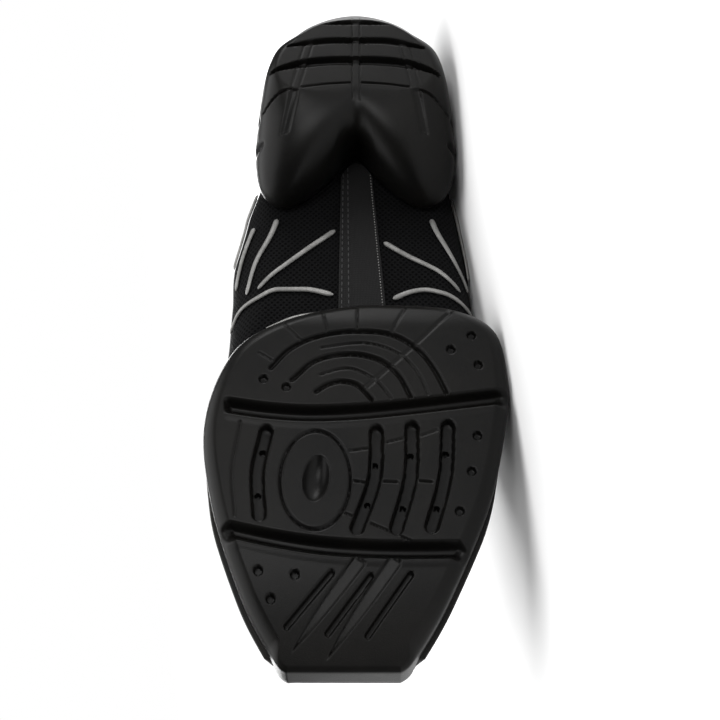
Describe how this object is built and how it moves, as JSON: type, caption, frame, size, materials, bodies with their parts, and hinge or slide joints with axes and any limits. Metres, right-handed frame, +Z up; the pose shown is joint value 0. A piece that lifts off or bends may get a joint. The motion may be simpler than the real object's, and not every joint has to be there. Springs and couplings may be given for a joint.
{
  "type": "dance sneaker",
  "caption": "Right split-sole dance sneaker lying on its outer side: rubber heel unit and forefoot pad with a spin spot, mesh upper with silver ribs, padded collar, tongue and laces",
  "frame": {"origin": "Centre of the bounding box in plan, at the floor that the shoe lies on.", "axes": "+Z up. The shoe lies on its outer side with its toe towards -X, its soles facing -Y and its inner side up."},
  "size_m": [0.262, 0.1044, 0.1043],
  "materials": {
    "sole_rubber": "matt black moulded rubber",
    "midsole_rubber": "matt black moulded rubber",
    "upper_mesh": "black spacer mesh",
    "overlay": "black smooth synthetic leather",
    "woven_band": "black close-woven webbing",
    "silver_piping": "silver-grey moulded piping",
    "lining_cloth": "black knitted lining",
    "eyelet_ring": "dark moulded ring",
    "lace": "black flat braid"
  },
  "bodies": {
    "root": {"arch_band": "woven_band", "collar": "lining_cloth", "eyelet_lateral_1": "eyelet_ring", "eyelet_lateral_2": "eyelet_ring", "eyelet_lateral_3": "eyelet_ring", "eyelet_lateral_4": "eyelet_ring", "eyelet_lateral_5": "eyelet_ring", "eyelet_lateral_6": "eyelet_ring", "eyelet_medial_1": "eyelet_ring", "eyelet_medial_2": "eyelet_ring", "eyelet_medial_3": "eyelet_ring", "eyelet_medial_4": "eyelet_ring", "eyelet_medial_5": "eyelet_ring", "eyelet_medial_6": "eyelet_ring", "eyestay_lateral": "overlay", "eyestay_medial": "overlay", "heel": "sole_rubber", "heel_counter": "overlay", "insole": "lining_cloth", "lace_bar_1": "lace", "lace_bar_2": "lace", "lace_bar_3": "lace", "lace_bar_4": "lace", "lace_bar_5": "lace", "lace_bar_6": "lace", "midsole_forefoot": "midsole_rubber", "outsole_forefoot": "sole_rubber", "piping_lateral_1": "silver_piping", "piping_lateral_2": "silver_piping", "piping_lateral_3": "silver_piping", "piping_lateral_4": "silver_piping", "piping_medial_1": "silver_piping", "piping_medial_2": "silver_piping", "piping_medial_3": "silver_piping", "piping_medial_4": "silver_piping", "piping_medial_5": "silver_piping", "piping_medial_6": "silver_piping", "toe_cap": "overlay", "tongue": "lining_cloth", "upper": "upper_mesh"}
  },
  "joints": []
}
